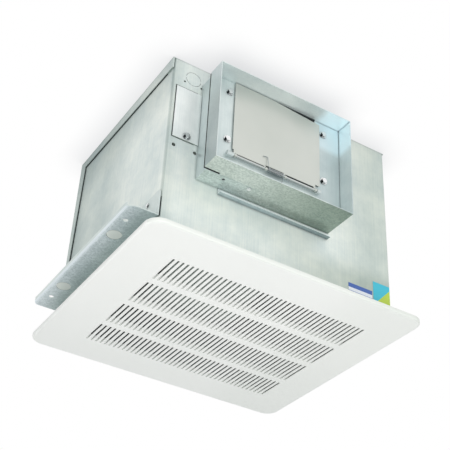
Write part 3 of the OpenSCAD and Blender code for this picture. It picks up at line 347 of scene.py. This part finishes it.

# Painted shade: the other faces that look outwards are toned darker, and ahead of the gasket more so lower
# down.
to_middle = add(tree, "ShaderNodeVectorMath", {0: COLLAR_MIDDLE, 1: place}, operation="SUBTRACT")
normal = add(tree, "ShaderNodeNewGeometry").outputs["True Normal"]
facing = add(tree, "ShaderNodeVectorMath", {0: to_middle.outputs[0], 1: normal}, operation="DOT_PRODUCT")
inside = add(tree, "ShaderNodeMath", {0: facing.outputs["Value"], 1: 0.0}, operation="GREATER_THAN")
outside = add(tree, "ShaderNodeMath", {0: inside.outputs[0], 1: painted_underside_mask.outputs[0]}, operation="MAXIMUM")
outside = add(tree, "ShaderNodeMath", {0: 1.0, 1: outside.outputs[0]}, operation="SUBTRACT")
tint = tone(tree, tint, "#f1f3f4", outside.outputs[0])
ahead = add(tree, "ShaderNodeMath", {0: parts.outputs["Y"], 1: GASKET_Y}, operation="LESS_THAN")
ahead = add(tree, "ShaderNodeMath", {0: ahead.outputs[0], 1: outside.outputs[0]}, operation="MULTIPLY")
tint = fade(tree, tint, "#dcdddd", place, "Z", start=0.24, end=0.19, where=ahead.outputs[0])

# A painted reflection brightens the corner on the faces that look inwards, with painted shade in its corners,
# and painted shade darkens the plate right of the flap.
bright = add(tree, "ShaderNodeMapRange", {"Value": parts.outputs["X"], "From Min": BRIGHT_FROM_X,
                                          "From Max": BRIGHT_FROM_X + BRIGHT_EDGE})
high = add(tree, "ShaderNodeMapRange", {"Value": parts.outputs["Z"], "From Min": BRIGHT_FROM_Z,
                                        "From Max": BRIGHT_FROM_Z + BRIGHT_EDGE})
bright = add(tree, "ShaderNodeMath", {0: bright.outputs[0], 1: high.outputs[0]}, operation="MULTIPLY")
bright = add(tree, "ShaderNodeMath", {0: bright.outputs[0], 1: inside.outputs[0]}, operation="MULTIPLY")
painted_reflection_tint = painted_corner_shade(tree, linear("#edfcff"), "#4c6674", REFLECTION_SHADE_REACH)
tint = add(tree, "ShaderNodeMix", {0: bright.outputs[0], 6: tint.outputs[2], 7: painted_reflection_tint.outputs[2]},
           data_type="RGBA")
tint = fade(tree, tint, "#e5e9eb", place, "X", start=BRIGHT_FROM_X, end=BRIGHT_FROM_X + BRIGHT_EDGE,
            where=looks(tree, "Y"))
tree.links.new(tint.outputs[2], shader.inputs["Base Color"])
dress(collar_steel, "collar_adapter", "damper_frame")

ledge_steel, tree, shader, place, tint, painted_underside_mask = galvanised(
    "galvanised_ledge", "#f4fafa", "#e0eaec", roughness=0.4, painted_underside=("#a2b3b5", "#b5c4c6"))
# Painted shade: the ledge's underside takes darker colours, darker still towards the right.
tint = fade(tree, tint, "#d2d6d6", place, "X", start=-0.04, end=0.03, where=painted_underside_mask.outputs[0])
tree.links.new(tint.outputs[2], shader.inputs["Base Color"])
dress(ledge_steel, "collar_ledge")

# The brackets: thicker galvanised strip, folded to an angle with an upturned lip. Their knockouts
# are punched flat again, so they show as paler discs.
KNOCKOUT = Vector((0.1955, 0.072, 0.0362))
KNOCKOUT_R = 0.0093
KNOCKOUT_EDGE = 0.0002
LIP_LOOKS_DOWN = 0.4

# Painted light: the brackets' undersides take paler, bluer colours, against the shade the grille throws on
# them.
bracket_steel, tree, shader, place, tint, painted_underside_mask = galvanised(
    "galvanised_strip", "#dde6e3", "#ccd8d6", roughness=0.42, painted_underside=("#c2cfd2", "#e8f1f4"), painted_underside_top=0.05,
    grain=SMALL_CRYSTAL)
# A painted highlight: the lip's bend, which looks out and down, is painted pale.
lip = add(tree, "ShaderNodeMath", {0: looks(tree, "X"), 1: looks(tree, "Z", LIP_LOOKS_DOWN)},
          operation="MULTIPLY")
tint = add(tree, "ShaderNodeMix", {0: lip.outputs[0], 6: tint.outputs[2], 7: linear("#e4edf1")},
           data_type="RGBA")
both_sides = add(tree, "ShaderNodeVectorMath", {0: place}, operation="ABSOLUTE")
# Painted shade: the underside darkens towards the housing wall.
tint = fade(tree, tint, "#e6ebe8", both_sides.outputs[0], "X", start=0.202, end=0.184,
            where=painted_underside_mask.outputs[0])
away = add(tree, "ShaderNodeVectorMath", {0: both_sides.outputs[0], 1: KNOCKOUT}, operation="DISTANCE")
disc = add(tree, "ShaderNodeMapRange", {"Value": away.outputs["Value"],
                                        "From Min": KNOCKOUT_R + KNOCKOUT_EDGE,
                                        "From Max": KNOCKOUT_R - KNOCKOUT_EDGE})
paler = add(tree, "ShaderNodeMix", {0: disc.outputs[0], 6: tint.outputs[2], 7: linear("#eef3ee")},
            data_type="RGBA")
tree.links.new(paler.outputs[2], shader.inputs["Base Color"])
dress(bracket_steel, "bracket_left", "bracket_right", "motor_bracket")

# The lining: charcoal needled felt, cut to the panels and glued inside the housing's top and back to
# hush the air. Its fibres give it a dull, uneven grey, with painted shade darkening it towards the left.
FELT_TUFT = 0.0009  # a tuft of fibres, because a single one is too fine to show

felt, tree, shader, place = surface("needled_felt")
fibre = add(tree, "ShaderNodeTexNoise", {"Vector": place, "Scale": 1 / FELT_TUFT, "Detail": 3.0})
tint = add(tree, "ShaderNodeMix", {0: fibre.outputs[0], 6: linear("#5c646a"), 7: linear("#7c868d")},
           data_type="RGBA")
tint = fade(tree, tint, "#8a8c8c", place, "X", start=0.04, end=-0.13)
tree.links.new(tint.outputs[2], shader.inputs["Base Color"])
shader.inputs["Roughness"].default_value = 0.95
relief = add(tree, "ShaderNodeBump", {"Height": fibre.outputs[0], "Strength": 0.6, "Distance": 0.0006})
tree.links.new(relief.outputs[0], shader.inputs["Normal"])
dress(felt, "liner_top", "liner_back")

# The gasket, the damper's seal and the tape: closed-cell foam strip, die cut, between the collar's
# two frames, round the flap's seat and under the housing's folded flanges. All is black, the seal a
# little greyer than the rest. The tape is a black strip put where the folds only throw shade, a
# painted shadow, and the black of the gasket and the seal also stands for the shade in the gaps
# round them. Behind the rod, the seal's lower edge is painted pale as painted light.
FOAM_CELL = 0.0005  # really some 0.2 mm, drawn coarser to show
SEAL_PAINTED_LIGHT_Z = 0.1396
SEAL_PAINTED_LIGHT_EDGE = 0.0003


def closed_cell(name, cell, wall):
    """Foam strip with its fine, half open cells."""
    made, tree, shader, place = surface(name)
    cells = add(tree, "ShaderNodeTexVoronoi", {"Vector": place, "Scale": 1 / FOAM_CELL})
    tint = add(tree, "ShaderNodeMix", {0: cells.outputs["Distance"], 6: linear(cell), 7: linear(wall)},
               data_type="RGBA")
    tree.links.new(tint.outputs[2], shader.inputs["Base Color"])
    shader.inputs["Roughness"].default_value = 0.85
    return made, tree, shader, place, tint


dress(closed_cell("closed_cell_foam", "#14181a", "#272c2d")[0], "collar_gasket", "seam_tape")

seat_foam, tree, shader, place, tint = closed_cell("seat_foam", "#24292b", "#3b4143")
# Painted light: below the rod's axis the seal is painted pale, over the shade of the rod.
spot = add(tree, "ShaderNodeSeparateXYZ", {"Vector": place})
painted_shading = add(tree, "ShaderNodeMapRange", {"Value": spot.outputs["Z"],
                                        "From Min": SEAL_PAINTED_LIGHT_Z + SEAL_PAINTED_LIGHT_EDGE,
                                        "From Max": SEAL_PAINTED_LIGHT_Z - SEAL_PAINTED_LIGHT_EDGE})
tint = add(tree, "ShaderNodeMix", {0: painted_shading.outputs[0], 6: tint.outputs[2], 7: linear("#aab3b3")},
           data_type="RGBA")
tree.links.new(tint.outputs[2], shader.inputs["Base Color"])
dress(seat_foam, "damper_seal")

# The flap: a light sheet steel plate with a painted coat, hinged on the rod at its lower edge. The
# coat is a warm, dull grey with slow waves where the thin sheet isn't quite flat.
WAVES_PER_METRE = 16.0

flap, tree, shader, place = surface("coated_flap_sheet")
waves = add(tree, "ShaderNodeTexNoise", {"Vector": place, "Scale": WAVES_PER_METRE, "Detail": 2.0})
tint = add(tree, "ShaderNodeMix", {0: waves.outputs[0], 6: linear("#cbd0c9"), 7: linear("#dadcd6")},
           data_type="RGBA")
tree.links.new(tint.outputs[2], shader.inputs["Base Color"])
shader.inputs["Metallic"].default_value = 0.8
shader.inputs["Roughness"].default_value = 0.42
relief = add(tree, "ShaderNodeBump", {"Height": waves.outputs[0], "Strength": 0.25, "Distance": 0.002})
tree.links.new(relief.outputs[0], shader.inputs["Normal"])
dress(flap, "damper_flap")

# Screws, rivets, rod, shaft and spring wire: plated steel, aluminium and bare steel, turned, drawn
# or cold headed, with faint tool marks, and painted shade where a head meets the sheet and on its
# slanting faces.
TOOL_MARK = 0.0004  # really some 0.1 mm, drawn coarser to show
TOOL_MARK_GLOSS = 0.08
CONTACT_SHADE_REACH = 0.002


def plain_metal(name, colour, roughness, shade_line="#ffffff"):
    """Metal in one tone with fine tool marks. A given colour is painted shade on its corners and slanting
    faces.
    """
    made, tree, shader, place = surface(name)
    marks = add(tree, "ShaderNodeTexNoise", {"Vector": place, "Scale": 1 / TOOL_MARK, "Detail": 2.0})
    tint = painted_corner_shade(tree, linear(colour), shade_line, CONTACT_SHADE_REACH)
    normal = add(tree, "ShaderNodeNewGeometry").outputs["True Normal"]
    turned = add(tree, "ShaderNodeVectorMath", {0: normal}, operation="ABSOLUTE")
    turned = add(tree, "ShaderNodeSeparateXYZ", {"Vector": turned.outputs[0]})
    most = add(tree, "ShaderNodeMath", {0: turned.outputs["X"], 1: turned.outputs["Y"]}, operation="MAXIMUM")
    most = add(tree, "ShaderNodeMath", {0: most.outputs[0], 1: turned.outputs["Z"]}, operation="MAXIMUM")
    slant = add(tree, "ShaderNodeMapRange", {"Value": most.outputs[0], "From Min": 0.97, "From Max": 0.9})
    tint = tone(tree, tint, shade_line, slant.outputs[0])
    tree.links.new(tint.outputs[2], shader.inputs["Base Color"])
    shader.inputs["Metallic"].default_value = 1.0
    gloss = add(tree, "ShaderNodeMapRange", {"Value": marks.outputs[0], "To Min": roughness - TOOL_MARK_GLOSS,
                                             "To Max": roughness + TOOL_MARK_GLOSS})
    tree.links.new(gloss.outputs[0], shader.inputs["Roughness"])
    relief = add(tree, "ShaderNodeBump", {"Height": marks.outputs[0], "Strength": 0.1, "Distance": 0.0002})
    tree.links.new(relief.outputs[0], shader.inputs["Normal"])
    return made


dress(plain_metal("zinc_plate", "#f2f4f4", roughness=0.2, shade_line="#3a4042"), "damper_frame_screws",
      "wiring_cover_screw", "bracket_rivets", "motor_bracket_screws")
dress(plain_metal("rivet_aluminium", "#ffffff", roughness=0.3, shade_line="#c4caca"), "collar_rivets")
dress(plain_metal("drawn_rod", "#d8dcda", roughness=0.25), "damper_rod")
spring_wire = plain_metal("spring_wire", "#bcc2c4", roughness=0.25)
dress(spring_wire, "grille_clips")
dress(plain_metal("ground_shaft_steel", "#c4c8ca", roughness=0.2), "motor_shaft")
dress(plain_metal("green_passivated_zinc", "#3c7d4e", roughness=0.35), "ground_screw")

spring_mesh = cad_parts["damper_spring"].data.copy()
spring_mesh.materials.clear()
spring_mesh.materials.append(spring_wire)
for face in spring_mesh.polygons:
    face.use_smooth = True
torsion_spring = bpy.data.objects.new("torsion_spring", spring_mesh)
bpy.context.collection.objects.link(torsion_spring)
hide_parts("damper_spring")
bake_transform(torsion_spring)

# The bushes, the plug, the socket and the motor's lead: grey and black moulded nylon and a PVC
# jacket, matt with a fine mould grain, and soft rubber under the arms that hold the motor.
MOULD_GRAIN = 0.0006  # really some 0.1 mm, drawn coarser to show


def moulded(name, colour, roughness):
    """Plastic, rubber or enamel in one tone, with a fine grain."""
    made, tree, shader, place = surface(name)
    grain = add(tree, "ShaderNodeTexNoise", {"Vector": place, "Scale": 1 / MOULD_GRAIN, "Detail": 2.0})
    shader.inputs["Base Color"].default_value = linear(colour)
    shader.inputs["Roughness"].default_value = roughness
    relief = add(tree, "ShaderNodeBump", {"Height": grain.outputs[0], "Strength": 0.2, "Distance": 0.0002})
    tree.links.new(relief.outputs[0], shader.inputs["Normal"])
    return made


dress(moulded("grey_nylon", "#c9d2d1", roughness=0.4), "hinge_bushes")
dress(moulded("black_nylon", "#26282a", roughness=0.45), "receptacle", "motor_plug")
dress(moulded("pvc_jacket", "#222426", roughness=0.5), "motor_lead")
dress(moulded("soft_rubber", "#1d1f20", roughness=0.7), "motor_isolators")

# The motor and the blower: a steel shell in dark, half glossy enamel, dull grey die-cast end bells,
# warm sintered bronze bearings and brown lacquered laminations, and a wheel of rolled galvanised
# strip, pale and lightly clouded, on a die-cast hub.
dress(moulded("motor_enamel", "#3c4043", roughness=0.35), "motor_shell")
dress(plain_metal("die_cast_aluminium", "#a3a8a8", roughness=0.45), "motor_bell_inner", "motor_bell_outer",
      "wheel_hub")
dress(plain_metal("sintered_bronze", "#b08d57", roughness=0.4), "motor_bearings")
dress(plain_metal("lacquered_laminations", "#6d5a4a", roughness=0.5), "motor_stator", "motor_rotor")
dress(galvanised("wheel_strip", "#b9c2c1", "#99a5a4", roughness=0.4)[0], "wheel_disc", "wheel_rings",
      "wheel_blades")

# The grille: pressed steel sheet with punched slots and a rounded rim, in white powder coat. The
# coat has a faint orange peel and a slow drift in its tone. Painted shade darkens it a little towards
# the back and the right, and on the rim's front.
ORANGE_PEEL = 0.0022
DRIFTS_PER_METRE = 6.0
RIM_LOOKS_FORWARD = 0.25

coat, tree, shader, place = surface("white_powder_coat")
peel = add(tree, "ShaderNodeTexNoise", {"Vector": place, "Scale": 1 / ORANGE_PEEL, "Detail": 1.5})
drift = add(tree, "ShaderNodeTexNoise", {"Vector": place, "Scale": DRIFTS_PER_METRE, "Detail": 2.0})
tint = add(tree, "ShaderNodeMix", {0: drift.outputs[0], 6: linear("#f0f2ef"), 7: linear("#f6f7f4")},
           data_type="RGBA")
tint = fade(tree, tint, "#f9fafa", place, "Y", start=-0.05, end=0.16)
tint = fade(tree, tint, "#fafbfa", place, "X", start=0.05, end=0.12)
tint = tone(tree, tint, "#f1f3f1", looks(tree, "Y", RIM_LOOKS_FORWARD))
tree.links.new(tint.outputs[2], shader.inputs["Base Color"])
shader.inputs["Roughness"].default_value = 0.45
relief = add(tree, "ShaderNodeBump", {"Height": peel.outputs[0], "Strength": 0.08, "Distance": 0.0004})
tree.links.new(relief.outputs[0], shader.inputs["Normal"])
dress(coat, "grille_panel", "grille_deflectors")

# The labels: two bare stickers on the front wall, printed film with a clear coat, a blue one with a
# white stripe and a cyan one with a lime corner. Nothing is written on either.
STRIPE_MIDDLE = 0.5
STRIPE_HALF = 0.14
CORNER_CUT = 0.2


def sticker(name, ground, motif, corner, size, inside):
    """Printed film. inside takes the film's own u and v, 0 to 1, and gives the motif's mask."""
    made, tree, shader, place = surface(name)
    own = add(tree, "ShaderNodeMapping", {"Vector": place, "Scale": (1 / size[0], 1, 1 / size[1]),
                                          "Location": (-corner[0] / size[0], 0, -corner[1] / size[1])})
    parts = add(tree, "ShaderNodeSeparateXYZ", {"Vector": own.outputs[0]})
    mask = inside(tree, parts.outputs["X"], parts.outputs["Z"])
    tint = add(tree, "ShaderNodeMix", {0: mask, 6: linear(ground), 7: linear(motif)}, data_type="RGBA")
    tree.links.new(tint.outputs[2], shader.inputs["Base Color"])
    shader.inputs["Roughness"].default_value = 0.3
    return made


def stripe(tree, u, v):
    """A band across the film's middle."""
    off = add(tree, "ShaderNodeMath", {0: v, 1: STRIPE_MIDDLE}, operation="SUBTRACT")
    off = add(tree, "ShaderNodeMath", {0: off.outputs[0]}, operation="ABSOLUTE")
    return add(tree, "ShaderNodeMath", {0: off.outputs[0], 1: STRIPE_HALF}, operation="LESS_THAN").outputs[0]


def lower_corner(tree, u, v):
    """The film's lower right corner, cut off aslant."""
    over = add(tree, "ShaderNodeMath", {0: v, 1: u}, operation="SUBTRACT")
    return add(tree, "ShaderNodeMath", {0: over.outputs[0], 1: -CORNER_CUT}, operation="LESS_THAN").outputs[0]


for node, ground, motif, inside in (("rating_label", "#3f63ad", "#e6ecf4", stripe),
                                    ("square_label", "#3cbcd2", "#b9d24a", lower_corner)):
    low, high = (Vector(c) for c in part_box(node))
    film = sticker(node + "_film", ground, motif, (low.x, low.z), (high.x - low.x, high.z - low.z), inside)
    dress(film, node)
